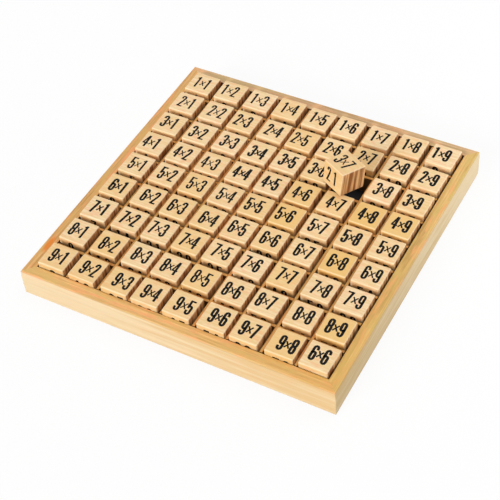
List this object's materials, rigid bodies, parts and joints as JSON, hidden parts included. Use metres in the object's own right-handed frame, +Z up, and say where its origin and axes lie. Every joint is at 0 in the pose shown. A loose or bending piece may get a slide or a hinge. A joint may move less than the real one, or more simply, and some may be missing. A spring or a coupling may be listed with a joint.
{
  "type": "multiplication board",
  "caption": "Square wooden tray with a half-lapped grid of slats and loose square number tiles standing in its cells, for learning the times tables.",
  "frame": {"origin": "middle of the tray's underside, on the surface that it stands on", "axes": "+X from the first column to the last, +Y from the front rail (row 9) to the back rail (row 1), +Z up"},
  "size_m": [0.292, 0.292, 0.0566],
  "materials": {
    "rail_wood": "pale solid wood, sanded and oiled",
    "panel_wood": "plain plywood, sanded",
    "floor_black": "matt black sheet",
    "slat_wood": "warm brown thin wood, sanded",
    "tile_wood": "pale solid wood, sanded, with eased edges",
    "print_ink": "black printed numbers"
  },
  "bodies": {
    "root": {"rail_front": "rail_wood", "rail_back": "rail_wood", "rail_left": "rail_wood", "rail_right": "rail_wood", "base_panel": "panel_wood", "floor_sheet": "floor_black", "slat_across_1": "slat_wood", "slat_across_2": "slat_wood", "slat_across_3": "slat_wood", "slat_across_4": "slat_wood", "slat_across_5": "slat_wood", "slat_across_6": "slat_wood", "slat_across_7": "slat_wood", "slat_across_8": "slat_wood", "slat_along_1": "slat_wood", "slat_along_2": "slat_wood", "slat_along_3": "slat_wood", "slat_along_4": "slat_wood", "slat_along_5": "slat_wood", "slat_along_6": "slat_wood", "slat_along_7": "slat_wood", "slat_along_8": "slat_wood", "tiles_row_1": "tile_wood", "tiles_row_2": "tile_wood", "tiles_row_3": "tile_wood", "tiles_row_4": "tile_wood", "tiles_row_5": "tile_wood", "tiles_row_6": "tile_wood", "tiles_row_7": "tile_wood", "tiles_row_8": "tile_wood", "tiles_row_9": "tile_wood", "tile_lifted": "tile_wood", "tile_turned": "tile_wood"}
  },
  "joints": []
}
